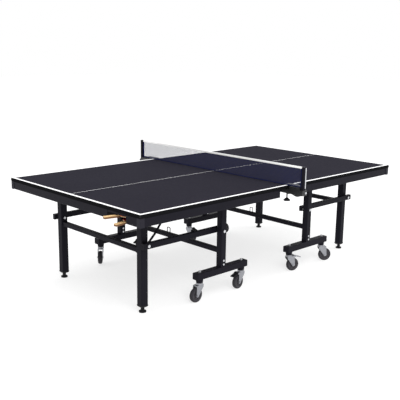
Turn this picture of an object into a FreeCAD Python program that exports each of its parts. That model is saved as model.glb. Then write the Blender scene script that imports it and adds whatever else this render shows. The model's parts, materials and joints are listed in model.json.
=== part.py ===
import FreeCAD, Part
import math
import os

# Roll-away table-tennis table in two folding halves, standing on z = 0 with the net line over the origin.
# Millimetres, X along the table, Y across it, Z up.
# One half is drawn on the +X side. The other half is the same, turned half round the Z axis.

V = FreeCAD.Vector

# Driving dimensions: a full-size table
TABLE_LENGTH = 2740.0
TABLE_WIDTH = 1525.0
TABLE_HEIGHT = 760.0
BOARD_THICKNESS = 25.0
SEAM_GAP = 1.0
SEAM_UNDERCUT = 4.0
CLEARANCE = 0.4
PIN_CLEARANCE = 0.05

HALF_LENGTH = TABLE_LENGTH / 2
HALF_WIDTH = TABLE_WIDTH / 2
BOARD_UNDERSIDE = TABLE_HEIGHT - BOARD_THICKNESS

# Frame under each board
RAIL_DEPTH = 57.0
RAIL_WIDTH = 30.0
RAIL_WALL = 1.5
RAIL_CORNER = 3.0
CAP_WALL = 2.5
FRAME_END = HALF_LENGTH - CAP_WALL
FRAME_SIDE = HALF_WIDTH - CAP_WALL
FRAME_UNDERSIDE = BOARD_UNDERSIDE - RAIL_DEPTH
INNER_RAIL_X = 80.0

# Folding linkage: a parallelogram of carriage post, top, leg and link bar
FOLD_Z = 700.0
POST_X = 490.0
POST_Y = 580.0
POST_SIZE = 50.0
POST_WALL = 2.0
LEG_X = 1120.0
LEG_Y = 472.0
LEG_SIZE = 54.0
LEG_WALL = 1.5
HINGE_OFFSET = 60.0
FOLD_X = POST_X - HINGE_OFFSET
LEG_HINGE_X = LEG_X - HINGE_OFFSET
TUBE_TOP = FOLD_Z + 14
LINK_Z = 470.0
LINK_Y = 525.0
LINK_WIDTH = 28.0
LINK_HEIGHT = 42.0
LINK_LEG_OVERHANG = 36.0
LINK_POST_OVERHANG = 12.0
PIN_RADIUS = 6.0
KNUCKLE_RADIUS = 13.0
KNUCKLE_HALF_WIDTH = 15.0
EAR_THICKNESS = 4.0

# Carriage
BAR_LENGTH = 486.0
BAR_WIDTH = 56.0
BAR_BOTTOM = 161.0
BAR_TOP = 209.0
CASTER_REACH = 210.0
RAIL_Z = 323.0
RAIL_SIZE = 34.0
LOOP_REACH = 16.0
LOOP_BEND = 8.0
LOOP_WIRE = 3.2
LOOP_TOP = 380.0

# Casters
WHEEL_RADIUS = 53.0
TREAD_HALF_WIDTH = 15.0
HUB_HALF_WIDTH = 16.5
TRAIL = 35.0
AXLE_RADIUS = 4.0
CHEEK_GAP = 18.0
CHEEK_THICKNESS = 2.5
PLATE_BOTTOM = 119.0
PLATE_TOP = 123.0
RACE_TOP = 135.0
PEDAL_X = 50.0
PEDAL_Z = 121.0

# Leg ends and feet
TUBE_BOTTOM = 52.0
LEG_CAP_BOTTOM = 36.0
FOOT_RADIUS = 25.0
FOOT_STEM_RADIUS = 13.0
STUD_RADIUS = 5.0
CROSS_BAR_Z = 425.0
CROSS_BAR_SIZE = 34.0

# Locking stay, in a plane beside the leg
STAY_Y = 425.0
STAY_TOP = (842.0, 665.0)
STAY_KINK = (973.0, 504.0)
STAY_FOOT = (1086.0, 396.0)
STAY_HALF_WIDTH = 8.0
STAY_THICKNESS = 5.0
STAY_RAIL_X = 827.0

# Racket pocket behind a notch in the end rail
POCKET_Y = (435.0, 625.0)
POCKET_BACK = 1155.0
POCKET_SHELF_FRONT = 1300.0
POCKET_FLOOR_FRONT = 1270.0
POCKET_WALL = 3.0
POCKET_FLOOR = 652.0
POCKET_SHELF = 688.0
NOTCH_TOP = 722.0

# Net set, carried by the right half
NET_TOP = TABLE_HEIGHT + 152.5
NET_END = 889.0
NET_POST = 25.0
CLAMP_X = (8.0, 52.0)
CLAMP_SCREW_X = 30.0
CLAMP_SCREW_Y = 735.0
CLAMP_Y = 706.0
CLAMP_EDGE = HALF_WIDTH + 3.5

HALVES = {"right": 1, "left": -1}
NODES = {}


# ---- shape helpers ----

def block(x, y, z):
    """Box between the two ends of each pair."""
    return Part.makeBox(x[1] - x[0], y[1] - y[0], z[1] - z[0], V(x[0], y[0], z[0]))


def around(centre, size):
    """The pair of ends of a span given by its middle and its size."""
    return (centre - size / 2, centre + size / 2)


def edges_along(shape, axis):
    """Straight edges of a shape that run along one axis, 0, 1 or 2 for X, Y or Z."""
    found = []
    for edge in shape.Edges:
        ends = edge.Vertexes
        if len(ends) != 2:
            continue
        step = ends[1].Point - ends[0].Point
        if step.Length > 0.1 and abs(step[axis]) > 0.999 * step.Length:
            found.append(edge)
    return found


def bar(x, y, z, axis, radius):
    """Solid bar with its long edges rounded."""
    solid = block(x, y, z)
    return solid.makeFillet(radius, edges_along(solid, axis))


def tube(x, y, z, axis, wall, radius):
    """Square tube along an axis, open at both ends."""
    bore = []
    for index, span in enumerate((x, y, z)):
        inset = 0 if index == axis else wall
        bore.append((span[0] + inset, span[1] - inset))
    inner = bar(bore[0], bore[1], bore[2], axis, max(radius - wall, 0.5))
    return bar(x, y, z, axis, radius).cut(inner)


def rod(start, end, radius):
    """Round rod between two points."""
    start = V(*start)
    run = V(*end) - start
    return Part.makeCylinder(radius, run.Length, start, run)


def ring(start, end, radius, bore):
    """Round sleeve between two points."""
    return rod(start, end, radius).cut(rod(start, end, bore))


def cone(x, y, z, bottom_radius, top_radius):
    """Upright cone frustum over a height pair."""
    return Part.makeCone(bottom_radius, top_radius, z[1] - z[0], V(x, y, z[0]), V(0, 0, 1))


def profile_y(points, y):
    """Polygon of (x, z) points made solid over a span of Y."""
    corners = [V(px, y[0], pz) for px, pz in points]
    face = Part.Face(Part.makePolygon(corners + corners[:1]))
    return face.extrude(V(0, y[1] - y[0], 0))


def hexagon(centre, normal, radius, height):
    """Hexagonal bolt head or nut that starts at a point and grows along its normal."""
    centre = V(*centre)
    normal = V(*normal)
    aside = V(0, 0, 1) if abs(normal.z) < 0.5 else V(1, 0, 0)
    other = normal.cross(aside)
    corners = []
    for step in range(6):
        angle = math.radians(60 * step)
        corners.append(centre + aside * (radius * math.cos(angle)) + other * (radius * math.sin(angle)))
    face = Part.Face(Part.makePolygon(corners + corners[:1]))
    return face.extrude(normal * height)


def turned(shape, angle, centre=(0, 0, 0)):
    """Copy of a shape turned about a vertical line."""
    copy = shape.copy()
    copy.rotate(V(*centre), V(0, 0, 1), angle)
    return copy


def moved(shape, x, y):
    """Copy of a shape moved in plan."""
    copy = shape.copy()
    copy.translate(V(x, y, 0))
    return copy


def fused(first, *others):
    """One solid from pieces that are welded or moulded together."""
    result = first
    for other in others:
        result = result.fuse(other)
    return result.removeSplitter()


def keep(name, solids):
    """Holds the separate solids of one node for writing at the end."""
    NODES[name] = solids


def keep_in_both_halves(name, solids):
    """Holds a node of the right half and its turned copy in the left half."""
    keep("right_" + name, solids)
    keep("left_" + name, [turned(solid, 180) for solid in solids])


def side_word(half, side):
    """Near is -Y and far is +Y, and the turned half swaps its two sides."""
    return "far" if side * HALVES[half] > 0 else "near"


# ---- top: board, frame, caps, brackets, racket pocket ----

def board():
    """Playing board, cut back under the seam so that its edge clears the other board as it folds."""
    near = SEAM_GAP / 2
    blank = block((near, HALF_LENGTH), (-HALF_WIDTH, HALF_WIDTH), (BOARD_UNDERSIDE, TABLE_HEIGHT))
    wedge = profile_y(
        [(near, TABLE_HEIGHT), (near, BOARD_UNDERSIDE), (near + SEAM_UNDERCUT, BOARD_UNDERSIDE)],
        (-HALF_WIDTH, HALF_WIDTH),
    )
    outer = [edge for edge in edges_along(blank, 1) if edge.CenterOfMass.x > HALF_LENGTH - 1]
    sides = edges_along(blank, 0)
    return blank.makeChamfer(1.0, outer + sides).cut(wedge)


def cross_rail_of_frame(x):
    """Rail across the frame, from side rail to side rail."""
    inside = FRAME_SIDE - RAIL_WIDTH
    return tube((x, x + RAIL_WIDTH), (-inside, inside), (FRAME_UNDERSIDE, BOARD_UNDERSIDE), 1,
                RAIL_WALL, RAIL_CORNER)


def top_frame():
    """Welded rails under the board, each a separate tube."""
    heights = (FRAME_UNDERSIDE, BOARD_UNDERSIDE)
    rails = []
    for side in (-1, 1):
        span = sorted((side * FRAME_SIDE, side * (FRAME_SIDE - RAIL_WIDTH)))
        rails.append(tube((INNER_RAIL_X, FRAME_END), span, heights, 0, RAIL_WALL, RAIL_CORNER))
    hinge_gap = KNUCKLE_RADIUS + 2
    for x in (INNER_RAIL_X, FOLD_X - hinge_gap - RAIL_WIDTH, STAY_RAIL_X, LEG_HINGE_X - hinge_gap - RAIL_WIDTH):
        rails.append(cross_rail_of_frame(x))
    inside = FRAME_SIDE - RAIL_WIDTH
    for span in ((-inside, POCKET_Y[0]), (POCKET_Y[1], inside)):
        rails.append(tube((FRAME_END - RAIL_WIDTH, FRAME_END), span, heights, 1, RAIL_WALL, RAIL_CORNER))
    bridge_y = (POCKET_Y[0] + POCKET_WALL, POCKET_Y[1] - POCKET_WALL)
    rails.append(block((FRAME_END - RAIL_WIDTH, FRAME_END), bridge_y, (NOTCH_TOP, BOARD_UNDERSIDE)))
    return rails


def corner_caps():
    """Angle covers over the frame's two outer corners, each with a small bumper at board height."""
    arm = 34.0
    caps = []
    for side in (-1, 1):
        outside = (HALF_LENGTH - arm, HALF_LENGTH)
        span = sorted((side * (HALF_WIDTH - arm), side * HALF_WIDTH))
        heights = (FRAME_UNDERSIDE - 1.5, BOARD_UNDERSIDE)
        solid = block(outside, span, heights)
        inner_span = sorted((side * (HALF_WIDTH - arm - 1), side * FRAME_SIDE))
        core = block((outside[0] - 1, FRAME_END), inner_span, (heights[0] - 1, heights[1] + 1))
        angle = solid.cut(core)
        corner = [
            edge for edge in edges_along(angle, 2)
            if abs(edge.CenterOfMass.x - HALF_LENGTH) < 0.1
            and abs(edge.CenterOfMass.y - side * HALF_WIDTH) < 0.1
        ]
        caps.append(angle.makeFillet(2.0, corner))
        bumper = Part.makeSphere(6.0, V(HALF_LENGTH - 2, side * (HALF_WIDTH - 2), TABLE_HEIGHT - 13))
        outer_x = block((HALF_LENGTH, HALF_LENGTH + 9), around(side * HALF_WIDTH, 30), (730, 765))
        outer_y_span = sorted((side * HALF_WIDTH, side * (HALF_WIDTH + 9)))
        outer_y = block((HALF_LENGTH - 20, HALF_LENGTH), outer_y_span, (730, 765))
        caps.append(bumper.common(outer_x.fuse(outer_y).removeSplitter()))
    return caps


def ear_pair(x, y):
    """Two hinge ears on a frame rail, either side of a knuckle, with the bolt through them."""
    solids = []
    inner = KNUCKLE_HALF_WIDTH + CLEARANCE
    rail_face = x - KNUCKLE_RADIUS - 2
    for side in (-1, 1):
        span = sorted((y + side * inner, y + side * (inner + EAR_THICKNESS)))
        tongue = block((rail_face, x), span, (FOLD_Z - KNUCKLE_RADIUS, FOLD_Z + KNUCKLE_RADIUS))
        eye = rod((x, span[0], FOLD_Z), (x, span[1], FOLD_Z), KNUCKLE_RADIUS)
        hole = rod((x, span[0] - 1, FOLD_Z), (x, span[1] + 1, FOLD_Z), PIN_RADIUS)
        solids.append(fused(tongue, eye).cut(hole))
    reach = inner + EAR_THICKNESS
    shank = rod((x, y - reach, FOLD_Z), (x, y + reach, FOLD_Z), PIN_RADIUS)
    head = hexagon((x, y + reach, FOLD_Z), (0, 1, 0), 10, 6)
    nut = hexagon((x, y - reach, FOLD_Z), (0, -1, 0), 10, 6)
    solids.append(fused(shank, head, nut))
    return solids


def hinge_brackets():
    """Ears for the posts and the legs, and the lug that the locking stay hangs from."""
    solids = []
    for side in (-1, 1):
        solids += ear_pair(FOLD_X, side * POST_Y)
        solids += ear_pair(LEG_HINGE_X, side * LEG_Y)
    lug_face = STAY_Y + STAY_THICKNESS / 2 + CLEARANCE
    x, z = STAY_TOP
    lug = block((x - 10, x + 10), (lug_face, lug_face + EAR_THICKNESS), (z - 10, FRAME_UNDERSIDE))
    outer_face = STAY_Y - STAY_THICKNESS / 2 - CLEARANCE
    pin = rod((x, outer_face, z), (x, lug_face, z), STUD_RADIUS)
    head = rod((x, outer_face - 4, z), (x, outer_face, z), 8.0)
    solids.append(fused(lug, pin, head))
    return solids


def racket_pocket():
    """Two-storey plastic pocket, open towards the end of the table."""
    y0, y1 = POCKET_Y
    walls = ((y0, y0 + POCKET_WALL), (y1 - POCKET_WALL, y1))
    upper = (POCKET_SHELF, BOARD_UNDERSIDE)
    lower = (POCKET_FLOOR, POCKET_SHELF)
    upper_front = FRAME_END - 4
    pieces = [block((POCKET_BACK, upper_front), wall, upper) for wall in walls]
    pieces += [block((POCKET_BACK, POCKET_FLOOR_FRONT), wall, lower) for wall in walls]
    return fused(
        block((POCKET_BACK, POCKET_BACK + POCKET_WALL), POCKET_Y, (POCKET_FLOOR, BOARD_UNDERSIDE)),
        block((POCKET_BACK, POCKET_FLOOR_FRONT), POCKET_Y, (POCKET_FLOOR, POCKET_FLOOR + POCKET_WALL)),
        block((POCKET_BACK, POCKET_SHELF_FRONT), POCKET_Y, (POCKET_SHELF, POCKET_SHELF + POCKET_WALL)),
        *pieces,
    )


# ---- legs, link bars, stay ----

def knuckle(x, y, tube_face):
    """Bored block between a tube's face and the hinge line."""
    span = (y - KNUCKLE_HALF_WIDTH, y + KNUCKLE_HALF_WIDTH)
    block_solid = block((x, tube_face), span, (FOLD_Z - KNUCKLE_RADIUS, FOLD_Z + KNUCKLE_RADIUS))
    eye = rod((x, span[0], FOLD_Z), (x, span[1], FOLD_Z), KNUCKLE_RADIUS)
    hole = rod((x, span[0] - 1, FOLD_Z), (x, span[1] + 1, FOLD_Z), PIN_RADIUS + PIN_CLEARANCE)
    return fused(block_solid, eye).cut(hole)


def leg_frame():
    """Two legs with their hinge knuckles, the bar between them and the stay's catch."""
    solids = []
    for side in (-1, 1):
        y = side * LEG_Y
        leg = tube(around(LEG_X, LEG_SIZE), around(y, LEG_SIZE), (TUBE_BOTTOM, TUBE_TOP), 2, LEG_WALL, 6.0)
        pin_hole = rod((LEG_X, y - LEG_SIZE, LINK_Z), (LEG_X, y + LEG_SIZE, LINK_Z), PIN_RADIUS)
        solids.append(leg.cut(pin_hole))
        solids.append(knuckle(LEG_HINGE_X, y, LEG_X - LEG_SIZE / 2))
    inner = LEG_Y - LEG_SIZE / 2
    solids.append(tube(around(LEG_X, CROSS_BAR_SIZE), (-inner, inner), around(CROSS_BAR_Z, CROSS_BAR_SIZE),
                       1, LEG_WALL, RAIL_CORNER))
    foot_x, foot_z = STAY_FOOT
    face = LEG_X - CROSS_BAR_SIZE / 2
    catch = profile_y(
        [(face, 436), (foot_x - 8, 436), (foot_x - 8, foot_z + 5), (foot_x + 5, foot_z + 5),
         (foot_x + 5, foot_z - 8), (face, foot_z - 8)],
        (STAY_Y + 5, STAY_Y + 9),
    )
    solids.append(catch)
    return solids


def leg_caps():
    """Tapered plastic ends of the legs, bored for the stems of the levelling feet."""
    solids = []
    for side in (-1, 1):
        y = side * LEG_Y
        sections = []
        for z, size in ((LEG_CAP_BOTTOM, 40.0), (TUBE_BOTTOM - 8, LEG_SIZE), (TUBE_BOTTOM, LEG_SIZE)):
            x_span = around(LEG_X, size)
            y_span = around(y, size)
            corners = [V(x_span[0], y_span[0], z), V(x_span[1], y_span[0], z),
                       V(x_span[1], y_span[1], z), V(x_span[0], y_span[1], z)]
            sections.append(Part.makePolygon(corners + corners[:1]))
        taper = Part.makeLoft(sections[:2], True, True)
        collar = Part.makeLoft(sections[1:], True, True)
        bore = rod((LEG_X, y, 0), (LEG_X, y, 100), FOOT_STEM_RADIUS + PIN_CLEARANCE)
        solids.append(fused(taper, collar).cut(bore))
    return solids


def leg_bolts():
    """Pivot bolts of the link bars' leg ends."""
    solids = []
    for side in (-1, 1):
        leg_outer = LEG_Y + LEG_SIZE / 2
        leg_inner = LEG_Y - LEG_SIZE / 2
        link_outer = LINK_Y + LINK_WIDTH / 2 + CLEARANCE
        link_inner = LINK_Y - LINK_WIDTH / 2 - CLEARANCE
        at = (LEG_X, LINK_Z)
        shank = rod((at[0], side * leg_inner, at[1]), (at[0], side * link_outer, at[1]), PIN_RADIUS)
        head = hexagon((at[0], side * link_outer, at[1]), (0, side, 0), 11, 6)
        nut = hexagon((at[0], side * leg_inner, at[1]), (0, -side, 0), 10, 5)
        solids.append(fused(shank, head, nut))
        solids.append(ring((at[0], side * leg_outer, at[1]), (at[0], side * link_inner, at[1]), 12, PIN_RADIUS))
    return solids


def leveller(x, y):
    """Screw-in foot: a round pad on a thick stem that runs up inside the leg."""
    pad = rod((x, y, 0), (x, y, 9), FOOT_RADIUS)
    shoulder = cone(x, y, (9, 15), FOOT_RADIUS - 3, FOOT_STEM_RADIUS)
    stem = rod((x, y, 15), (x, y, 80), FOOT_STEM_RADIUS)
    return fused(pad, shoulder, stem)


def link_bars():
    """The two lower bars of the parallelogram, with plastic ends."""
    solids = []
    for side in (-1, 1):
        y = side * LINK_Y
        start = POST_X - LINK_POST_OVERHANG
        end = LEG_X + LINK_LEG_OVERHANG
        heights = around(LINK_Z, LINK_HEIGHT)
        body = tube((start, end), around(y, LINK_WIDTH), heights, 0, 2.0, 4.0)
        post_hole = rod((POST_X, y - LINK_WIDTH, LINK_Z), (POST_X, y + LINK_WIDTH, LINK_Z),
                        PIN_RADIUS + PIN_CLEARANCE)
        leg_hole = rod((LEG_X, y - LINK_WIDTH, LINK_Z), (LEG_X, y + LINK_WIDTH, LINK_Z), PIN_RADIUS + 0.5)
        solids.append(body.cut(post_hole).cut(leg_hole))
        for span in ((start - 5, start), (end, end + 5)):
            solids.append(bar(span, around(y, LINK_WIDTH), heights, 0, 4.0))
    return solids


def stay():
    """Cranked flat bar that hangs from the frame, with a peg that sits in the catch on the leg bar."""
    span = around(STAY_Y, STAY_THICKNESS)
    pieces = []
    for start, end in ((STAY_TOP, STAY_KINK), (STAY_KINK, STAY_FOOT)):
        run = V(end[0] - start[0], 0, end[1] - start[1])
        across = V(-run.z, 0, run.x).normalize() * STAY_HALF_WIDTH
        corners = [(start[0] + across.x, start[1] + across.z), (end[0] + across.x, end[1] + across.z),
                   (end[0] - across.x, end[1] - across.z), (start[0] - across.x, start[1] - across.z)]
        pieces.append(profile_y(corners, span))
    for x, z in (STAY_TOP, STAY_KINK, STAY_FOOT):
        pieces.append(rod((x, span[0], z), (x, span[1], z), STAY_HALF_WIDTH))
    peg = rod((STAY_FOOT[0], span[1], STAY_FOOT[1]), (STAY_FOOT[0], STAY_Y + 10, STAY_FOOT[1]), 4.0)
    strip = fused(*pieces)
    x, z = STAY_TOP
    hole = rod((x, span[0] - 1, z), (x, span[1] + 1, z), STUD_RADIUS + PIN_CLEARANCE)
    return fused(strip.cut(hole), peg)


# ---- carriage ----

def caster_bars():
    """Two bars that carry the casters, with plastic ends and sockets."""
    solids = []
    for side in (-1, 1):
        y = side * POST_Y
        ends = around(POST_X, BAR_LENGTH)
        body = tube(ends, around(y, BAR_WIDTH), (BAR_BOTTOM, BAR_TOP), 0, 2.5, 5.0)
        for x in (POST_X - CASTER_REACH, POST_X + CASTER_REACH):
            hole = rod((x, y, BAR_BOTTOM - 1), (x, y, BAR_TOP + 1), PIN_RADIUS)
            body = body.cut(hole)
            socket = cone(x, y, (RACE_TOP + CLEARANCE, BAR_BOTTOM), 24, 27)
            solids.append(socket.cut(rod((x, y, 100), (x, y, BAR_BOTTOM + 1), PIN_RADIUS)))
        solids.append(body)
        for span in ((ends[0] - 7, ends[0]), (ends[1], ends[1] + 7)):
            cap = bar(span, around(y, BAR_WIDTH), (BAR_BOTTOM, BAR_TOP), 0, 5.0)
            solids.append(cap)
    return solids


def posts():
    """Uprights on the caster bars, with the knuckles that the top turns on."""
    solids = []
    for side in (-1, 1):
        y = side * POST_Y
        post = tube(around(POST_X, POST_SIZE), around(y, POST_SIZE), (BAR_TOP, TUBE_TOP), 2, POST_WALL, 5.0)
        for z in (LINK_Z, BAR_TOP + 18, BAR_TOP + 46):
            post = post.cut(rod((POST_X, y - POST_SIZE, z), (POST_X, y + POST_SIZE, z),
                                PIN_RADIUS if z == LINK_Z else AXLE_RADIUS))
        solids.append(post)
        solids.append(knuckle(FOLD_X, y, POST_X - POST_SIZE / 2))
    return solids


def cross_rail():
    """Rail between the posts, with a squared wire catch loop standing on it."""
    inner = POST_Y - POST_SIZE / 2
    rail = tube(around(POST_X, RAIL_SIZE - 2), (-inner, inner), around(RAIL_Z, RAIL_SIZE), 1, LEG_WALL,
                RAIL_CORNER)
    loop_y = 16.0
    foot = RAIL_Z + RAIL_SIZE / 2
    bend_z = LOOP_TOP - LOOP_BEND
    straight = LOOP_REACH - LOOP_BEND
    pieces = [rod((POST_X, loop_y - straight, LOOP_TOP), (POST_X, loop_y + straight, LOOP_TOP), LOOP_WIRE)]
    for side in (-1, 1):
        turn_y = loop_y + side * straight
        leg_y = loop_y + side * LOOP_REACH
        bend = Part.makeTorus(LOOP_BEND, LOOP_WIRE, V(POST_X, turn_y, bend_z), V(1, 0, 0))
        quarter_y = sorted((turn_y, turn_y + side * 20))
        quarter = block((POST_X - 10, POST_X + 10), quarter_y, (bend_z, LOOP_TOP + 10))
        pieces.append(bend.common(quarter))
        pieces.append(rod((POST_X, leg_y, foot), (POST_X, leg_y, bend_z), LOOP_WIRE))
    return [rail, fused(*pieces)]


def carriage_bolts():
    """Caster kingpins, post base bolts and the link bars' pivot bolts."""
    solids = []
    for side in (-1, 1):
        y = side * POST_Y
        outer = POST_Y + POST_SIZE / 2
        inner = POST_Y - POST_SIZE / 2
        for x in (POST_X - CASTER_REACH, POST_X + CASTER_REACH):
            head = rod((x, y, PLATE_BOTTOM - 4), (x, y, PLATE_BOTTOM - CLEARANCE), 9)
            shank = rod((x, y, PLATE_BOTTOM - CLEARANCE), (x, y, BAR_TOP + 13), PIN_RADIUS)
            nut = hexagon((x, y, BAR_TOP), (0, 0, 1), 11, 9)
            solids.append(fused(head, shank, nut))
        for z in (BAR_TOP + 18, BAR_TOP + 46):
            through = rod((POST_X, side * inner, z), (POST_X, side * outer, z), AXLE_RADIUS)
            head = hexagon((POST_X, side * outer, z), (0, side, 0), 8, 4)
            nut = hexagon((POST_X, side * inner, z), (0, -side, 0), 8, 4)
            solids.append(fused(through, head, nut))
        link_outer = LINK_Y + LINK_WIDTH / 2 + CLEARANCE
        link_inner = LINK_Y - LINK_WIDTH / 2 - CLEARANCE
        shank = rod((POST_X, side * link_inner, LINK_Z), (POST_X, side * outer, LINK_Z), PIN_RADIUS)
        head = hexagon((POST_X, side * outer, LINK_Z), (0, side, 0), 11, 6)
        nut = rod((POST_X, side * link_inner, LINK_Z), (POST_X, side * (link_inner - 4), LINK_Z), 10)
        solids.append(fused(shank, head, nut))
        solids.append(ring((POST_X, side * link_outer, LINK_Z), (POST_X, side * inner, LINK_Z), 12, PIN_RADIUS))
    return solids


# ---- casters, drawn with the swivel on the Z axis and the wheel trailing along +X ----

def fork(braked):
    """Swivelling fork with its bearing race and the wheel's axle bolt."""
    outer = CHEEK_GAP + CHEEK_THICKNESS
    plate = bar((-24, 42), (-outer, outer), (PLATE_BOTTOM, PLATE_TOP), 2, 5.0)
    race = cone(0, 0, (PLATE_TOP, RACE_TOP), 26, 23)
    pieces = [plate, race]
    for side in (-1, 1):
        span = sorted((side * CHEEK_GAP, side * outer))
        pieces.append(profile_y(
            [(-21, PLATE_TOP - 1), (-21, 107), (TRAIL - 12, WHEEL_RADIUS - 3), (TRAIL + 12, WHEEL_RADIUS),
             (TRAIL + 8, PLATE_TOP - 1)],
            span,
        ))
        pieces.append(rod((TRAIL, span[0], WHEEL_RADIUS), (TRAIL, span[1], WHEEL_RADIUS), 13))
        if braked:
            pieces.append(block((30, PEDAL_X), span, (PEDAL_Z - 7, PEDAL_Z + 7)))
            pieces.append(rod((PEDAL_X, span[0], PEDAL_Z), (PEDAL_X, span[1], PEDAL_Z), 7))
        end = outer + 4
        face = (TRAIL, side * outer, WHEEL_RADIUS)
        pieces.append(hexagon(face, (0, side, 0), 8, end - outer))
    if braked:
        pieces.append(rod((PEDAL_X, -outer, PEDAL_Z), (PEDAL_X, outer, PEDAL_Z), 2.5))
    body = fused(*pieces).cut(rod((0, 0, 100), (0, 0, RACE_TOP + 1), PIN_RADIUS + PIN_CLEARANCE))
    axle = rod((TRAIL, -CHEEK_GAP, WHEEL_RADIUS), (TRAIL, CHEEK_GAP, WHEEL_RADIUS), AXLE_RADIUS)
    return body.fuse(axle).removeSplitter()


def wheel():
    """Wheel with a round tread and a dished hub."""
    half = [(AXLE_RADIUS + PIN_CLEARANCE, HUB_HALF_WIDTH), (12, HUB_HALF_WIDTH), (14, 9), (35, 7.5), (39, 13),
            (46.5, TREAD_HALF_WIDTH)]
    upper = [V(radius, width, 0) for radius, width in half]
    lower = [V(radius, -width, 0) for radius, width in reversed(half)]
    edges = []
    for start, end in zip(upper, upper[1:]):
        edges.append(Part.LineSegment(start, end).toShape())
    edges.append(Part.Arc(upper[-1], V(WHEEL_RADIUS, 0, 0), lower[0]).toShape())
    for start, end in zip(lower, lower[1:]):
        edges.append(Part.LineSegment(start, end).toShape())
    edges.append(Part.LineSegment(lower[-1], upper[0]).toShape())
    solid = Part.Face(Part.Wire(edges)).revolve(V(0, 0, 0), V(0, 1, 0), 360)
    solid.translate(V(TRAIL, 0, WHEEL_RADIUS))
    return solid


def pedal():
    """Brake pedal that pivots between the fork's ears and reaches out over the wheel."""
    sleeve = rod((PEDAL_X, -CHEEK_GAP + 1, PEDAL_Z), (PEDAL_X, CHEEK_GAP - 1, PEDAL_Z), 6)
    tread = profile_y(
        [(PEDAL_X, PEDAL_Z + 5), (PEDAL_X + 4, PEDAL_Z - 4), (PEDAL_X + 54, PEDAL_Z - 17),
         (PEDAL_X + 55, PEDAL_Z - 11)],
        (-17, 17),
    )
    bore = rod((PEDAL_X, -30, PEDAL_Z), (PEDAL_X, 30, PEDAL_Z), 2.5 + PIN_CLEARANCE)
    return fused(sleeve, tread).cut(bore)


# Direction in which each wheel trails at rest, in degrees from +X
REST_SWIVEL = {
    "left_near_outer": 182,
    "left_near_inner": 187,
    "left_far_outer": 226,
    "left_far_inner": 200,
    "right_near_inner": -18,
    "right_near_outer": -33,
    "right_far_inner": -88,
    "right_far_outer": -84,
}


def casters():
    """Eight swivelling casters; the four towards the net have brake pedals."""
    for half, sign in HALVES.items():
        for side in (-1, 1):
            for place, x in (("inner", POST_X - CASTER_REACH), ("outer", POST_X + CASTER_REACH)):
                name = half + "_" + side_word(half, side) + "_" + place
                angle = REST_SWIVEL[name]
                where = (sign * x, sign * side * POST_Y)
                braked = place == "inner"
                keep(name + "_fork", [moved(turned(fork(braked), angle), *where)])
                keep(name + "_wheel", [moved(turned(wheel(), angle), *where)])
                if braked:
                    keep(name + "_brake_pedal", [moved(turned(pedal(), angle), *where)])


# ---- net set ----

def net_posts():
    """The two uprights that hold the net outside the table's sides."""
    return [
        bar(around(0, NET_POST - 1), sorted((side * NET_END, side * (NET_END + NET_POST))), (745, NET_TOP), 2, 4.0)
        for side in (-1, 1)
    ]


def clamp_outline(side, start, end, top):
    """Section of a clamp cover between two distances from the middle, with a wavy lower edge."""
    low, deep = 700.0, 6.0
    steps = 8
    points = []
    for step in range(steps + 1):
        across = start + (end - start) * step / steps
        phase = (across - CLAMP_Y) / (NET_END + NET_POST - CLAMP_Y)
        points.append(V(0, side * across, low + deep * math.cos(4 * math.pi * phase)))
    curve = Part.BSplineCurve()
    curve.interpolate(points)
    corners = [points[-1], V(0, side * end, top), V(0, side * start, top), points[0]]
    lines = [Part.LineSegment(a, b).toShape() for a, b in zip(corners, corners[1:])]
    return Part.Face(Part.Wire([curve.toShape()] + lines))


def net_clamps():
    """Clamps on the right board's edge: cover under the board, block outside it and upper jaw."""
    solids = []
    outer_x = (-22.0, CLAMP_X[1])
    for side in (-1, 1):
        inner = clamp_outline(side, CLAMP_Y, CLAMP_EDGE, BOARD_UNDERSIDE - 2)
        inner = inner.extrude(V(CLAMP_X[1] - CLAMP_X[0], 0, 0))
        inner.translate(V(CLAMP_X[0], 0, 0))
        y = side * CLAMP_SCREW_Y
        inner = inner.cut(rod((CLAMP_SCREW_X, y, 680), (CLAMP_SCREW_X, y, 740), STUD_RADIUS + PIN_CLEARANCE))
        inner = inner.cut(rod((CLAMP_SCREW_X, y, 713), (CLAMP_SCREW_X, y, 740), 15))
        solids.append(inner)
        arm = clamp_outline(side, CLAMP_EDGE, NET_END, 767)
        arm = arm.extrude(V(outer_x[1] - outer_x[0], 0, 0))
        arm.translate(V(outer_x[0], 0, 0))
        arm = arm.cut(block((-23, CLAMP_X[0]), around(side * CLAMP_EDGE, 60), (690, 770)))
        arm = arm.cut(block((-23, CLAMP_X[0] - 2), around(side * NET_END, 300), (TABLE_HEIGHT + 0.5, 770)))
        arm = arm.cut(block((CLAMP_X[0] + 20, outer_x[1] + 1), around(side * NET_END, 60), (690, 770)))
        solids.append(arm)
        tail = clamp_outline(side, NET_END, NET_END + NET_POST, 745)
        tail = tail.extrude(V(CLAMP_X[0] + 20 - outer_x[0], 0, 0))
        tail.translate(V(outer_x[0], 0, 0))
        solids.append(tail)
        jaw_span = sorted((side * CLAMP_SCREW_Y, side * CLAMP_EDGE))
        solids.append(block(CLAMP_X, jaw_span, (TABLE_HEIGHT + CLEARANCE, 767)))
        face = side * (NET_END + NET_POST)
        solids.append(rod((6, face, 726), (6, face + side * 10, 726), 8))
    return solids


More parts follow.
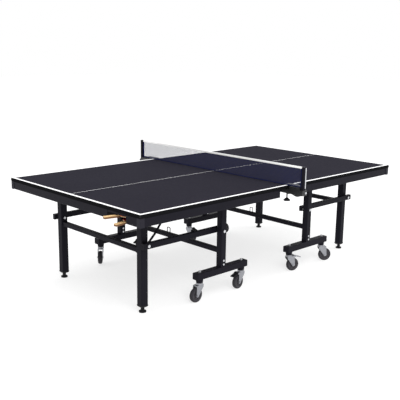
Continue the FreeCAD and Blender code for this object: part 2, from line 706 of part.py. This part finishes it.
def clamp_screw(side):
    """Screw that presses up under the board, with a fluted knob below."""
    x, y = CLAMP_SCREW_X, side * CLAMP_SCREW_Y
    pad = rod((x, y, BOARD_UNDERSIDE - 9), (x, y, BOARD_UNDERSIDE - CLEARANCE), 14)
    shank = rod((x, y, 655), (x, y, BOARD_UNDERSIDE - 9), STUD_RADIUS)
    knob = fused(rod((x, y, 638), (x, y, 645), 25), cone(x, y, (645, 659), 24, 9))
    for step in range(8):
        angle = math.radians(45 * step)
        flute = rod((x + 29 * math.cos(angle), y + 29 * math.sin(angle), 630),
                    (x + 29 * math.cos(angle), y + 29 * math.sin(angle), 670), 7)
        knob = knob.cut(flute)
    return fused(knob, shank, pad)


def net_cloth():
    """Net and its top tape, as one thin panel that clears the boards."""
    return [block((-1.5, 1.5), (-NET_END, NET_END), (TABLE_HEIGHT + 1.5, NET_TOP))]


# ---- loose rackets in the left half's pocket ----

def racket(tip, z, angle):
    """Racket lying flat: a round blade with rubbers, and a straight handle whose end is at the tip."""
    blade_radius = 75.0
    reach = 178.0
    blade = Part.makeCylinder(blade_radius, 10, V(0, 0, z - 5), V(0, 0, 1))
    handle = bar((-reach, -60), (-12.5, 12.5), around(z, 18), 0, 6.0)
    neck = block((-84, -60), (-22, 22), around(z, 6))
    centre = (tip[0] + reach * math.cos(math.radians(angle)), tip[1] - reach * math.sin(math.radians(angle)))
    return moved(turned(fused(blade, neck, handle), -angle), *centre)


keep_in_both_halves("board", [board()])
keep_in_both_halves("top_frame", top_frame())
keep_in_both_halves("corner_caps", corner_caps())
keep_in_both_halves("hinge_brackets", hinge_brackets())
keep_in_both_halves("racket_pocket", [racket_pocket()])
keep_in_both_halves("leg_frame", leg_frame())
keep_in_both_halves("leg_caps", leg_caps())
keep_in_both_halves("leg_bolts", leg_bolts())
keep_in_both_halves("link_bars", link_bars())
keep_in_both_halves("locking_stay", [stay()])
keep_in_both_halves("caster_bars", caster_bars())
keep_in_both_halves("posts", posts())
keep_in_both_halves("cross_rail", cross_rail())
keep_in_both_halves("carriage_bolts", carriage_bolts())
for half, sign in HALVES.items():
    for side in (-1, 1):
        name = half + "_" + side_word(half, side) + "_leveller"
        keep(name, [leveller(sign * LEG_X, sign * side * LEG_Y)])
casters()
keep("net_posts", net_posts())
keep("net_clamps", net_clamps())
keep("near_clamp_screw", [clamp_screw(-1)])
keep("far_clamp_screw", [clamp_screw(1)])
keep("net_cloth", net_cloth())
keep("upper_racket", [racket((-1441.0, -497.0), 705.0, 12.0)])
keep("lower_racket", [racket((-1412.0, -573.0), 668.0, -9.0)])

os.makedirs("parts", exist_ok=True)
for name, solids in NODES.items():
    shape = solids[0] if len(solids) == 1 else Part.makeCompound(solids)
    shape.exportStep("parts/" + name + ".step")
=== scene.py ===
import bpy
import bmesh
import json
import math
from mathutils import Matrix, Vector


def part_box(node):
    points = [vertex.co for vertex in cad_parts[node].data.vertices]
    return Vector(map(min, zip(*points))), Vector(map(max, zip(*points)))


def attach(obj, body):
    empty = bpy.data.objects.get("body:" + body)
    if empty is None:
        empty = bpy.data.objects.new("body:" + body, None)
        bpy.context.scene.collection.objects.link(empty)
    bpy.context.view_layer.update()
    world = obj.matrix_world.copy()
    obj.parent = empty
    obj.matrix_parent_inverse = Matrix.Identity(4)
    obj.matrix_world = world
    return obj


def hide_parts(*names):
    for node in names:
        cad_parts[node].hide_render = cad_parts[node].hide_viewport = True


# Roll-away table-tennis table. Metres; X runs along the table, Y across it and Z up.

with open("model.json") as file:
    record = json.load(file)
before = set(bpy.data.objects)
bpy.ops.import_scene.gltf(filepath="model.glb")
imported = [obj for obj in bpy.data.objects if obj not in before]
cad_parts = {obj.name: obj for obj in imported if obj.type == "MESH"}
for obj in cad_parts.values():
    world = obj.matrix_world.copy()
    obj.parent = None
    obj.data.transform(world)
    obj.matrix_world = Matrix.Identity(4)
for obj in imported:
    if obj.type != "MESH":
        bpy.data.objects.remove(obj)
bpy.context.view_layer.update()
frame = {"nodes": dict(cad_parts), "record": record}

NODES = frame["nodes"]
JOINTS = {joint["name"]: joint for joint in frame["record"]["behaviour"]["joints"]}
TOP_BODY = {"left": "left_top", "right": "right_top"}


# ---- material building ----

BLACK = (0.008, 0.008, 0.009)
BUMPER_BLACK = (0.006, 0.006, 0.007)
BUMPER_BOTTOM = 0.7353  # height where a corner's cover ends and its bumper starts
CLAMP_BLOCK = 0.9142  # distance from the middle of the table to the net clamp's outer block


class Shader:
    """A material whose nodes are added one after another."""

    def __init__(self, name, roughness=0.5, metallic=0.0, specular=0.5):
        self.material = bpy.data.materials.new(name)
        self.material.use_nodes = True
        self.nodes = self.material.node_tree.nodes
        self.links = self.material.node_tree.links
        self.surface = self.nodes["Principled BSDF"]
        self.surface.inputs["Roughness"].default_value = roughness
        self.surface.inputs["Metallic"].default_value = metallic
        self.surface.inputs["Specular IOR Level"].default_value = specular
        self.coords = self.nodes.new("ShaderNodeTexCoord")
        self.relief = None

    def link(self, start, end):
        self.links.new(start, end)

    def stretched(self, scale):
        """Object coordinates scaled by an amount along each axis."""
        mapping = self.nodes.new("ShaderNodeMapping")
        mapping.inputs["Scale"].default_value = scale
        self.link(self.coords.outputs["Object"], mapping.inputs["Vector"])
        return mapping.outputs["Vector"]

    def noise(self, scale, detail=2.0, rough=0.5, vector=None):
        texture = self.nodes.new("ShaderNodeTexNoise")
        texture.inputs["Scale"].default_value = scale
        texture.inputs["Detail"].default_value = detail
        texture.inputs["Roughness"].default_value = rough
        self.link(vector or self.coords.outputs["Object"], texture.inputs["Vector"])
        return texture.outputs["Fac"]

    def cells(self, scale, output="Distance"):
        texture = self.nodes.new("ShaderNodeTexVoronoi")
        texture.inputs["Scale"].default_value = scale
        self.link(self.coords.outputs["Object"], texture.inputs["Vector"])
        return texture.outputs[output]

    def waves(self, scale, direction, distortion=0.0, vector=None):
        texture = self.nodes.new("ShaderNodeTexWave")
        texture.bands_direction = direction
        texture.inputs["Scale"].default_value = scale
        texture.inputs["Distortion"].default_value = distortion
        texture.inputs["Detail"].default_value = 2.0
        self.link(vector or self.coords.outputs["Object"], texture.inputs["Vector"])
        return texture.outputs["Fac"]

    def spread(self, value, low, high, start=0.0, end=1.0):
        """A value taken from start..end to low..high."""
        node = self.nodes.new("ShaderNodeMapRange")
        node.inputs["From Min"].default_value = start
        node.inputs["From Max"].default_value = end
        node.inputs["To Min"].default_value = low
        node.inputs["To Max"].default_value = high
        self.link(value, node.inputs["Value"])
        return node.outputs["Result"]

    def math(self, operation, first, second):
        node = self.nodes.new("ShaderNodeMath")
        node.operation = operation
        for socket, value in zip(node.inputs, (first, second)):
            if isinstance(value, (int, float)):
                socket.default_value = value
            else:
                self.link(value, socket)
        return node.outputs["Value"]

    def mix(self, factor, first, second):
        """Colour between two colours or colour outputs."""
        node = self.nodes.new("ShaderNodeMix")
        node.data_type = "RGBA"
        self.link(factor, node.inputs["Factor"])
        for socket, value in ((node.inputs[6], first), (node.inputs[7], second)):
            if isinstance(value, tuple):
                socket.default_value = (*value, 1.0)
            else:
                self.link(value, socket)
        return node.outputs[2]

    def position(self, axis, source="Object"):
        node = self.nodes.new("ShaderNodeSeparateXYZ")
        self.link(self.coords.outputs[source], node.inputs[0])
        return node.outputs[axis]

    def colour(self, value):
        self.link(value, self.surface.inputs["Base Color"])

    def vary(self, socket, value, low, high):
        self.link(self.spread(value, low, high), self.surface.inputs[socket])

    def bump(self, value, strength, distance):
        """Adds one more layer of relief."""
        node = self.nodes.new("ShaderNodeBump")
        node.inputs["Strength"].default_value = strength
        node.inputs["Distance"].default_value = distance
        self.link(value, node.inputs["Height"])
        if self.relief is not None:
            self.link(self.relief, node.inputs["Normal"])
        self.relief = node.outputs["Normal"]
        self.link(self.relief, self.surface.inputs["Normal"])


def painted_board():
    """Matt charcoal playing surface with a black edge band."""
    shader = Shader("playing_surface", specular=0.004)
    cloud = shader.noise(2.3, 3.0)
    grain = shader.noise(900.0, 3.0, 0.6)
    paint = shader.mix(cloud, (0.0150, 0.0142, 0.0205), (0.0178, 0.0169, 0.0240))
    paint = shader.mix(shader.spread(grain, 0.0, 0.35, 0.55, 0.8), paint, (0.0220, 0.0210, 0.0290))
    facing = shader.position("Z", "Normal")
    is_top = shader.math("GREATER_THAN", facing, 0.5)
    shader.colour(shader.mix(is_top, (0.007, 0.007, 0.008), paint))
    shader.vary("Roughness", shader.noise(60.0, 4.0), 0.50, 0.66)
    shader.bump(grain, 0.10, 0.0004)
    return shader.material


def line_paint():
    """White paint, slightly worn."""
    shader = Shader("line_paint")
    worn = shader.spread(shader.noise(140.0, 4.0, 0.6), 0.0, 0.5, 0.5, 0.8)
    shader.colour(shader.mix(worn, (0.86, 0.86, 0.86), (0.74, 0.74, 0.75)))
    shader.vary("Roughness", shader.noise(60.0, 4.0), 0.42, 0.58)
    shader.bump(shader.noise(900.0, 3.0, 0.6), 0.10, 0.0003)
    return shader.material


def powder_coat():
    """Satin black powder coat with its orange-peel skin."""
    shader = Shader("powder_coat", specular=0.05)
    cloud = shader.noise(9.0, 3.0)
    shader.colour(shader.mix(cloud, (0.0074, 0.0070, 0.0108), (0.0108, 0.0101, 0.0150)))
    peel = shader.noise(420.0, 2.0, 0.4)
    shader.vary("Roughness", shader.noise(35.0, 4.0), 0.34, 0.48)
    shader.bump(peel, 0.16, 0.0006)
    shader.bump(shader.noise(2200.0, 2.0), 0.06, 0.0002)
    return shader.material


def moulded_plastic(name, dark, light):
    """Spark-eroded moulded plastic."""
    shader = Shader(name, specular=0.12)
    shader.colour(shader.mix(shader.noise(25.0, 3.0), dark, light))
    grain = shader.cells(1400.0)
    shader.vary("Roughness", shader.noise(180.0, 3.0), 0.43, 0.59)
    shader.bump(grain, 0.14, 0.0003)
    return shader


def corner_plastic():
    """Grey corner cover with a black bumper at board height."""
    shader = moulded_plastic("corner_plastic", (0.0115, 0.0110, 0.0165), (0.0160, 0.0152, 0.0225))
    cover = shader.surface.inputs["Base Color"].links[0].from_socket
    above = shader.math("GREATER_THAN", shader.position("Z"), BUMPER_BOTTOM)
    shader.colour(shader.mix(above, cover, BUMPER_BLACK))
    return shader.material


def zinc(name="zinc", dark=(0.42, 0.43, 0.45), light=(0.66, 0.67, 0.69)):
    """Galvanised steel with a fine spangle."""
    shader = Shader(name, metallic=1.0)
    spangle = shader.cells(170.0, "Color")
    grey = shader.nodes.new("ShaderNodeRGBToBW")
    shader.link(spangle, grey.inputs[0])
    tone = shader.spread(grey.outputs[0], 0.5, 1.0)
    shader.colour(shader.mix(tone, dark, light))
    shader.vary("Roughness", shader.noise(110.0, 4.0), 0.26, 0.46)
    shader.bump(shader.noise(1300.0, 3.0), 0.08, 0.0003)
    return shader


def clamp_metal():
    """Black clamp whose outer block, beyond the net post, is bare zinc."""
    shader = zinc("clamp")
    metal = shader.surface.inputs["Base Color"].links[0].from_socket
    across = shader.math("ABSOLUTE", shader.position("Y"), 0.0)
    outer = shader.math("GREATER_THAN", across, CLAMP_BLOCK)
    shader.colour(shader.mix(outer, BLACK, metal))
    shader.link(outer, shader.surface.inputs["Metallic"])
    return shader.material


def brushed_aluminium():
    """Aluminium brushed along the strip."""
    shader = Shader("brushed_aluminium", metallic=1.0)
    brushing = shader.noise(40.0, 3.0, vector=shader.stretched((60.0, 60.0, 1.0)))
    shader.colour(shader.mix(brushing, (0.62, 0.63, 0.65), (0.80, 0.81, 0.83)))
    shader.vary("Roughness", brushing, 0.22, 0.38)
    shader.bump(brushing, 0.05, 0.0002)
    return shader.material


def tyre_rubber():
    """Dusty grey tyre."""
    shader = Shader("tyre_rubber", specular=0.2)
    dust = shader.noise(70.0, 5.0, 0.6)
    shader.colour(shader.mix(dust, (0.017, 0.016, 0.019), (0.036, 0.034, 0.040)))
    shader.vary("Roughness", shader.noise(160.0, 3.0), 0.62, 0.82)
    shader.bump(shader.noise(1500.0, 3.0), 0.12, 0.0003)
    return shader.material


def net_thread():
    """Twisted dark navy yarn."""
    shader = Shader("net_thread", roughness=0.8, specular=0.05)
    shader.surface.inputs["Sheen Weight"].default_value = 0.02
    twist = shader.waves(700.0, "DIAGONAL", 1.5)
    shader.colour(shader.mix(twist, (0.0045, 0.0070, 0.040), (0.0090, 0.0130, 0.062)))
    shader.bump(twist, 0.3, 0.0003)
    return shader.material


def tape_cloth():
    """White woven cotton tape."""
    shader = Shader("tape_cloth")
    shader.surface.inputs["Sheen Weight"].default_value = 0.2
    warp = shader.waves(520.0, "Y")
    weft = shader.waves(520.0, "Z")
    weave = shader.math("MULTIPLY", warp, weft)
    shader.colour(shader.mix(weave, (0.80, 0.80, 0.79), (0.92, 0.92, 0.91)))
    shader.vary("Roughness", shader.noise(90.0, 3.0), 0.72, 0.88)
    shader.bump(weave, 0.35, 0.0004)
    return shader.material


def racket_wood(name, pale, dark):
    """Wood with grain along the handle."""
    shader = Shader(name)
    rings = shader.waves(160.0, "Y", 3.0, shader.stretched((0.25, 1.0, 1.0)))
    pores = shader.noise(500.0, 4.0, vector=shader.stretched((0.1, 1.0, 1.0)))
    shader.colour(shader.mix(shader.math("MULTIPLY", rings, pores), pale, dark))
    shader.vary("Roughness", pores, 0.38, 0.55)
    shader.bump(pores, 0.1, 0.0003)
    return shader.material


def racket_rubber(name, base, deep):
    """Smooth rubber with a thin sheen."""
    shader = Shader(name)
    shader.surface.inputs["Coat Weight"].default_value = 0.2
    shader.colour(shader.mix(shader.noise(45.0, 4.0), base, deep))
    shader.vary("Roughness", shader.noise(200.0, 4.0), 0.32, 0.46)
    shader.bump(shader.cells(600.0), 0.08, 0.0003)
    return shader.material


def studio_floor():
    """White floor that glows a little, so that it stays bright under the table."""
    shader = Shader("studio_floor", roughness=0.9, specular=0.1)
    shader.colour(shader.mix(shader.noise(0.8, 2.0), (0.36, 0.36, 0.36), (0.38, 0.38, 0.38)))
    shader.surface.inputs["Emission Color"].default_value = (1.0, 1.0, 1.0, 1.0)
    shader.surface.inputs["Emission Strength"].default_value = 0.7
    return shader.material


LOOKS = {
    "board": painted_board(),
    "lines": line_paint(),
    "steel": powder_coat(),
    "plastic": moulded_plastic("black_plastic", (0.0070, 0.0070, 0.0082), (0.0115, 0.0115, 0.0130)).material,
    "hub": moulded_plastic("hub_plastic", (0.045, 0.042, 0.048), (0.070, 0.066, 0.074)).material,
    "corner": corner_plastic(),
    "zinc": zinc().material,
    "fork": zinc("fork_zinc", (0.17, 0.175, 0.195), (0.36, 0.365, 0.39)).material,
    "clamp": clamp_metal(),
    "aluminium": brushed_aluminium(),
    "tyre": tyre_rubber(),
    "thread": net_thread(),
    "tape": tape_cloth(),
    "pale_wood": racket_wood("pale_wood", (0.68, 0.46, 0.22), (0.50, 0.30, 0.12)),
    "dark_wood": racket_wood("dark_wood", (0.20, 0.09, 0.03), (0.10, 0.04, 0.015)),
    "red_rubber": racket_rubber("red_rubber", (0.62, 0.025, 0.015), (0.48, 0.015, 0.012)),
    "black_rubber": racket_rubber("black_rubber", (0.014, 0.014, 0.015), (0.022, 0.022, 0.024)),
}

# Which look each CAD node takes, by the end of its name. Where two endings fit, the later one counts.
NODE_LOOKS = {
    "_board": "board",
    "_top_frame": "steel",
    "_corner_caps": "corner",
    "_hinge_brackets": "steel",
    "_racket_pocket": "plastic",
    "_leg_frame": "steel",
    "_leg_caps": "plastic",
    "_leg_bolts": "zinc",
    "_link_bars": "steel",
    "_locking_stay": "steel",
    "_caster_bars": "steel",
    "_posts": "steel",
    "_cross_rail": "steel",
    "_carriage_bolts": "zinc",
    "_leveller": "plastic",
    "_fork": "fork",
    "_brake_pedal": "plastic",
    "right_near_inner_brake_pedal": "fork",
    "net_posts": "steel",
    "net_clamps": "clamp",
    "_clamp_screw": "plastic",
}


def dress_cad_nodes():
    """Gives every CAD node that stays its own look."""
    for name, node in NODES.items():
        for ending, look in NODE_LOOKS.items():
            if name.endswith(ending):
                node.data.materials.clear()
                node.data.materials.append(LOOKS[look])


# ---- mesh building ----

def piece(name, mesh_builder, look, body, smooth=True):
    """Turns a bmesh into an object that rides on a body."""
    mesh = bpy.data.meshes.new(name)
    bmesh.ops.recalc_face_normals(mesh_builder, faces=mesh_builder.faces)
    mesh_builder.to_mesh(mesh)
    mesh_builder.free()
    mesh.materials.append(LOOKS[look])
    thing = bpy.data.objects.new(name, mesh)
    bpy.context.scene.collection.objects.link(thing)
    if smooth:
        mesh.shade_smooth()
        mesh.set_sharp_from_angle(angle=math.radians(35))
    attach(thing, body)
    return thing


def add_box(builder, low, high):
    """Adds a box between two corners."""
    middle = (Vector(low) + Vector(high)) / 2
    size = Vector(high) - Vector(low)
    matrix = Matrix.Translation(middle) @ Matrix.Diagonal((*size, 1.0))
    bmesh.ops.create_cube(builder, size=1.0, matrix=matrix)


def add_lathe(builder, profile, matrix, segments=64):
    """Adds a closed profile of (radius, height) points turned about the matrix's Z axis."""
    loops = []
    for step in range(segments):
        angle = 2 * math.pi * step / segments
        across, along = math.cos(angle), math.sin(angle)
        loops.append([
            builder.verts.new(matrix @ Vector((radius * across, radius * along, height)))
            for radius, height in profile
        ])
    count = len(profile)
    for step in range(segments):
        here, after = loops[step], loops[(step + 1) % segments]
        for index in range(count):
            following = (index + 1) % count
            builder.faces.new((here[index], after[index], after[following], here[following]))


def rounded_bevel(thing, width, segments=2):
    """Rounds an object's edges with a bevel."""
    modifier = thing.modifiers.new("rounded", "BEVEL")
    modifier.width = width
    modifier.segments = segments
    modifier.limit_method = "ANGLE"


# ---- pieces ----

LINE_WIDTH = 0.020
CENTRE_LINE = 0.003
LINE_MARGIN = 0.001  # from a line's outer edge to the board's edge
PAINT = 0.00015


def table_lines(half):
    """White border lines and the fine centre line, as paint on the board."""
    low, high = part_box(half + "_board")
    inner, outer = (high[0], low[0]) if half == "left" else (low[0], high[0])
    towards = 1 if half == "right" else -1
    end = outer - towards * LINE_MARGIN
    side = high[1] - LINE_MARGIN
    top = high[2]
    builder = bmesh.new()
    stripes = [
        (inner, end, side - LINE_WIDTH, side),
        (inner, end, -side, LINE_WIDTH - side),
        (end - towards * LINE_WIDTH, end, LINE_WIDTH - side, side - LINE_WIDTH),
        (inner, end - towards * LINE_WIDTH, -CENTRE_LINE / 2, CENTRE_LINE / 2),
    ]
    for x_start, x_end, y_start, y_end in stripes:
        x_span = sorted((x_start, x_end))
        add_box(builder, (x_span[0], y_start, top - PAINT), (x_span[1], y_end, top + PAINT))
    piece(half + "_lines", builder, "lines", TOP_BODY[half], smooth=False)


def wheel_matrix(name):
    """Places a wheel's own Z axis on its axle."""
    joint = JOINTS[name + "_roll"]
    axle = Vector(joint["axis"])
    return Matrix.Translation(joint["pos_m"]) @ axle.to_track_quat("Z", "Y").to_matrix().to_4x4()


TYRE_SEAT = 0.0405
TYRE_SHOULDER = 0.045
TREAD_RADIUS = 0.0465
TREAD_RISE = 0.0064
TREAD_HALF = 0.0145
TREAD_SWEEP = 76
TREAD_STEPS = 10
RIM = [(0.0352, 0.0115), (0.0372, 0.0130), (0.0404, 0.0130)]
WEB = [(0.012, 0.0045), (0.0353, 0.0060)]
BOSS = [(0.0042, 0.0162), (0.0105, 0.0162), (0.0125, 0.0140)]
SPOKES = 6
SPOKE_CENTRE = 0.0240
SPOKE_SIZE = (0.024, 0.0035, 0.021)


def mirrored(half_profile):
    """Closed profile from the half on one side of a wheel's middle plane."""
    return half_profile + [(radius, -height) for radius, height in reversed(half_profile)]


def tyre_profile():
    """Half-round tread with flat sides."""
    points = [(TYRE_SEAT, -0.0125), (TYRE_SEAT, 0.0125), (TYRE_SHOULDER, TREAD_HALF)]
    for step in range(TREAD_STEPS + 1):
        angle = math.radians(TREAD_SWEEP - 2 * TREAD_SWEEP * step / TREAD_STEPS)
        points.append((TREAD_RADIUS + TREAD_RISE * math.cos(angle), TREAD_HALF * math.sin(angle)))
    points.append((TYRE_SHOULDER, -TREAD_HALF))
    return points


def wheel(name):
    """Tyre on a spoked hub, in place of the plain CAD wheel."""
    body = name + "_roller"
    matrix = wheel_matrix(name)
    builder = bmesh.new()
    add_lathe(builder, tyre_profile(), matrix, 72)
    tyre = piece(name + "_tyre", builder, "tyre", body)
    builder = bmesh.new()
    for half_profile, segments in ((RIM, 72), (WEB, 72), (BOSS, 48)):
        add_lathe(builder, mirrored(half_profile), matrix, segments)
    for spoke in range(SPOKES):
        turn = matrix @ Matrix.Rotation(2 * math.pi * spoke / SPOKES, 4, "Z")
        shape = Matrix.Translation((SPOKE_CENTRE, 0, 0)) @ Matrix.Diagonal((*SPOKE_SIZE, 1.0))
        bmesh.ops.create_cube(builder, size=1.0, matrix=turn @ shape)
    piece(name + "_hub", builder, "hub", body)
    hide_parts(name + "_wheel")


NET_CELL = 0.0085
THREAD = 0.0011
TAPE_HEIGHT = 0.015
HEM_HEIGHT = 0.006
END_BAND = 0.012
BAND_MARGIN = 0.0005  # from a band's edge to the cloth's edge
MESH_LAP = 0.002  # how far the mesh runs into its tape and its hem
MESH_MARGIN = 0.006  # from the mesh's last yarn to the cloth's end


def add_strand(builder, path, radius):
    """Adds a closed four-sided yarn along a list of points."""
    rings = []
    for index, point in enumerate(path):
        before = path[max(index - 1, 0)]
        after = path[min(index + 1, len(path) - 1)]
        along = (after - before).normalized()
        side = along.cross(Vector((1, 0, 0))).normalized()
        out = along.cross(side)
        rings.append([
            builder.verts.new(point + side * (radius * a) + out * (radius * b))
            for a, b in ((1, 0), (0, 1), (-1, 0), (0, -1))
        ])
    for here, after in zip(rings, rings[1:]):
        for index in range(4):
            following = (index + 1) % 4
            builder.faces.new((here[index], here[following], after[following], after[index]))
    builder.faces.new(rings[0])
    builder.faces.new(list(reversed(rings[-1])))


def net():
    """Knotted net of crossing yarns between its tapes."""
    low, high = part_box("net_cloth")
    bottom, top = low[2] + MESH_LAP, high[2] - TAPE_HEIGHT + MESH_LAP
    left, right = low[1] + MESH_MARGIN, high[1] - MESH_MARGIN
    columns = round((right - left) / NET_CELL)
    rows = round((top - bottom) / NET_CELL)
    lift = THREAD * 0.55
    builder = bmesh.new()
    for column in range(columns + 1):
        y = left + (right - left) * column / columns
        path = []
        for row in range(rows + 1):
            z = bottom + (top - bottom) * row / rows
            over = lift if (row + column) % 2 else -lift
            path.append(Vector((over, y, z)))
        add_strand(builder, path, THREAD)
    for row in range(rows + 1):
        z = bottom + (top - bottom) * row / rows
        path = []
        for column in range(columns + 1):
            y = left + (right - left) * column / columns
            over = -lift if (row + column) % 2 else lift
            path.append(Vector((over, y, z)))
        add_strand(builder, path, THREAD)
    mesh_piece = piece("net_mesh", builder, "thread", "right_top")
    hem_top, tape_bottom = low[2] + HEM_HEIGHT, high[2] - TAPE_HEIGHT
    near, far = low[1] + BAND_MARGIN, high[1] - BAND_MARGIN
    tape = net_band("net_tape", (near, far), (tape_bottom, high[2]), "tape")
    hem = net_band("net_hem", (near, far), (low[2], hem_top), "thread")
    ends = [
        net_band("net_end_" + word, span, (hem_top, tape_bottom), "thread")
        for word, span in (("near", (near, low[1] + END_BAND)), ("far", (high[1] - END_BAND, far)))
    ]
    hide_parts("net_cloth")


BAND_STEP = 0.02
# Half of a band's section: distance from the net's plane, and share of the band's height
BAND_SIDE = [(0.0012, 0.0), (0.0015, 0.12), (0.0021, 0.5), (0.0016, 0.9)]


def net_band(name, y_span, z_span, look):
    """Folded tape along one edge of the net, slightly puffed between its stitch lines."""
    builder = bmesh.new()
    steps = max(2, round((y_span[1] - y_span[0]) / BAND_STEP))
    height = z_span[1] - z_span[0]
    outline = [(-x, part) for x, part in BAND_SIDE] + [(0.0, 1.0)]
    outline += list(reversed(BAND_SIDE))
    sections = []
    for step in range(steps + 1):
        y = y_span[0] + (y_span[1] - y_span[0]) * step / steps
        sections.append([
            builder.verts.new((x, y, z_span[0] + height * part)) for x, part in outline
        ])
    for here, after in zip(sections, sections[1:]):
        for index in range(len(outline)):
            following = (index + 1) % len(outline)
            builder.faces.new((here[index], here[following], after[following], after[index]))
    builder.faces.new(sections[0])
    builder.faces.new(list(reversed(sections[-1])))
    return piece(name, builder, look, "right_top")


STRIP_PROUD = 0.0015
STRIP_SUNK = 0.0005
STRIP_EDGES = (0.009, 0.001)  # from the post's face towards the right half to the strip's two edges
STRIP_FOOT = 0.012
STRIP_HEAD = 0.006


def post_strips():
    """Aluminium strip that clamps the net's end in each post."""
    low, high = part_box("net_posts")
    start, end = (high[0] - edge for edge in STRIP_EDGES)
    for word, face, out in (("near", low[1], -1), ("far", high[1], 1)):
        builder = bmesh.new()
        span = sorted((face + out * STRIP_PROUD, face - out * STRIP_SUNK))
        add_box(builder, (start, span[0], low[2] + STRIP_FOOT), (end, span[1], high[2] - STRIP_HEAD))
        strip = piece(word + "_post_strip", builder, "aluminium", "right_top", smooth=False)
        rounded_bevel(strip, 0.0006)


BLADE_RADIUS = 0.075
PLY = 0.0020  # half the blade's thickness
GLUE = 0.0001
RUBBER_FACE = 0.005
GRIP_FACE = 0.0089
HANDLE = (-0.0720, -0.1780)  # where the handle starts and ends, from the blade's centre
# Each layer's name, bottom, top, radius and look
BLADE_LAYERS = (
    ("_blade", -PLY, PLY, BLADE_RADIUS - 0.0005, "pale_wood"),
    ("_upper_rubber", PLY + GLUE, RUBBER_FACE, BLADE_RADIUS - 0.0012, "red_rubber"),
    ("_lower_rubber", -RUBBER_FACE, -PLY - GLUE, BLADE_RADIUS - 0.0012, "black_rubber"),
)
# Each layer's name, bottom, top, edge rounding and look
HANDLE_LAYERS = (
    ("_grip_upper", PLY + GLUE, GRIP_FACE, 0.0028, "pale_wood"),
    ("_grip_ply", -PLY, PLY, 0.0006, "dark_wood"),
    ("_grip_lower", -GRIP_FACE, -PLY - GLUE, 0.0028, "dark_wood"),
)
CIRCLE_STEPS = 64


def racket(name, angle):
    """Racket with a ply blade, two rubbers and a layered handle, in place of its CAD solid."""
    low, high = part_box(name)
    centre = (high[0] - BLADE_RADIUS, (low[1] + high[1]) / 2, (low[2] + high[2]) / 2)
    place = Matrix.Translation(centre) @ Matrix.Rotation(math.radians(-angle), 4, "Z")
    layers = [blade_layer(name, layer, place) for layer in BLADE_LAYERS]
    add_handle(name, place)
    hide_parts(name)


def blade_layer(name, layer, place):
    """One round layer of a racket's blade."""
    ending, bottom, top, radius, look = layer
    turns = [2 * math.pi * step / CIRCLE_STEPS for step in range(CIRCLE_STEPS)]
    outline = [(radius * math.cos(turn), radius * math.sin(turn)) for turn in turns]
    builder = bmesh.new()
    add_plate(builder, outline, bottom, top, place)
    disc = piece(name + ending, builder, look, name + "_body")
    rounded_bevel(disc, 0.0008)
    return disc


def add_plate(builder, outline, bottom, top, place):
    """Adds a flat plate with a given outline."""
    lower = [builder.verts.new(place @ Vector((x, y, bottom))) for x, y in outline]
    upper = [builder.verts.new(place @ Vector((x, y, top))) for x, y in outline]
    builder.faces.new(list(reversed(lower)))
    builder.faces.new(upper)
    for index in range(len(outline)):
        following = (index + 1) % len(outline)
        builder.faces.new((lower[index], lower[following], upper[following], upper[index]))


def add_handle(name, place):
    """Straight handle, flared at both ends, with a pale upper scale on dark layers."""
    start, end = HANDLE
    waist = [(start, 0.0105), (start - 0.010, 0.0117), (start - 0.045, 0.0112), (end + 0.020, 0.0120),
             (end, 0.0125)]
    outline = waist + [(x, -half) for x, half in reversed(waist)]
    for ending, bottom, top, rounding, look in HANDLE_LAYERS:
        builder = bmesh.new()
        add_plate(builder, outline, bottom, top, place)
        layer = piece(name + ending, builder, look, name + "_body")
        rounded_bevel(layer, rounding, 3)


# ---- stage ----

FLOOR_REACH = 30.0
# Each lamp's name, place, size and power
LAMPS = (
    ("key", (-2.5, -4.5, 4.5), 3.0, 180.0),
    ("fill", (4.5, -2.0, 3.5), 3.0, 80.0),
    ("top", (0.0, 1.0, 5.0), 4.0, 120.0),
)
LAMP_TARGET = Vector((0, 0, 0.5))
EYE = (-3.807, -3.791, 1.731)
LENS = 61.1


def studio():
    """Pale floor and soft light."""
    builder = bmesh.new()
    bmesh.ops.create_grid(builder, x_segments=1, y_segments=1, size=FLOOR_REACH)
    mesh = bpy.data.meshes.new("floor")
    builder.to_mesh(mesh)
    builder.free()
    mesh.materials.append(studio_floor())
    floor = bpy.data.objects.new("floor", mesh)
    bpy.context.scene.collection.objects.link(floor)
    world = bpy.data.worlds.new("studio")
    world.use_nodes = True
    world.node_tree.nodes["Background"].inputs["Color"].default_value = (1.0, 1.0, 1.0, 1.0)
    world.node_tree.nodes["Background"].inputs["Strength"].default_value = 1.0
    bpy.context.scene.world = world
    for name, place, size, power in LAMPS:
        light = bpy.data.lights.new(name, "AREA")
        light.size = size
        light.energy = power
        lamp = bpy.data.objects.new(name, light)
        lamp.location = place
        lamp.rotation_euler = (LAMP_TARGET - Vector(place)).to_track_quat("-Z", "Y").to_euler()
        bpy.context.scene.collection.objects.link(lamp)
    bpy.context.scene.view_settings.view_transform = "Standard"


def camera():
    """Camera at a standing person's eye height, off the table's near left corner."""
    heading, drop, roll = math.radians(44.0), math.radians(12.73), math.radians(0.81)
    level = math.cos(drop)
    forward = Vector((math.sin(heading) * level, math.cos(heading) * level, -math.sin(drop)))
    data = bpy.data.cameras.new("camera")
    data.sensor_width = 36.0
    data.lens = LENS
    eye = bpy.data.objects.new("camera", data)
    turn = forward.to_track_quat("-Z", "Y").to_matrix().to_4x4() @ Matrix.Rotation(roll, 4, "Z")
    eye.matrix_world = Matrix.Translation(EYE) @ turn
    bpy.context.scene.collection.objects.link(eye)
    bpy.context.scene.camera = eye


dress_cad_nodes()
for half in ("left", "right"):
    table_lines(half)
    for side in ("near", "far"):
        for place in ("inner", "outer"):
            wheel(f"{half}_{side}_{place}")
net()
post_strips()
racket("upper_racket", 12.0)
racket("lower_racket", -9.0)
studio()
camera()
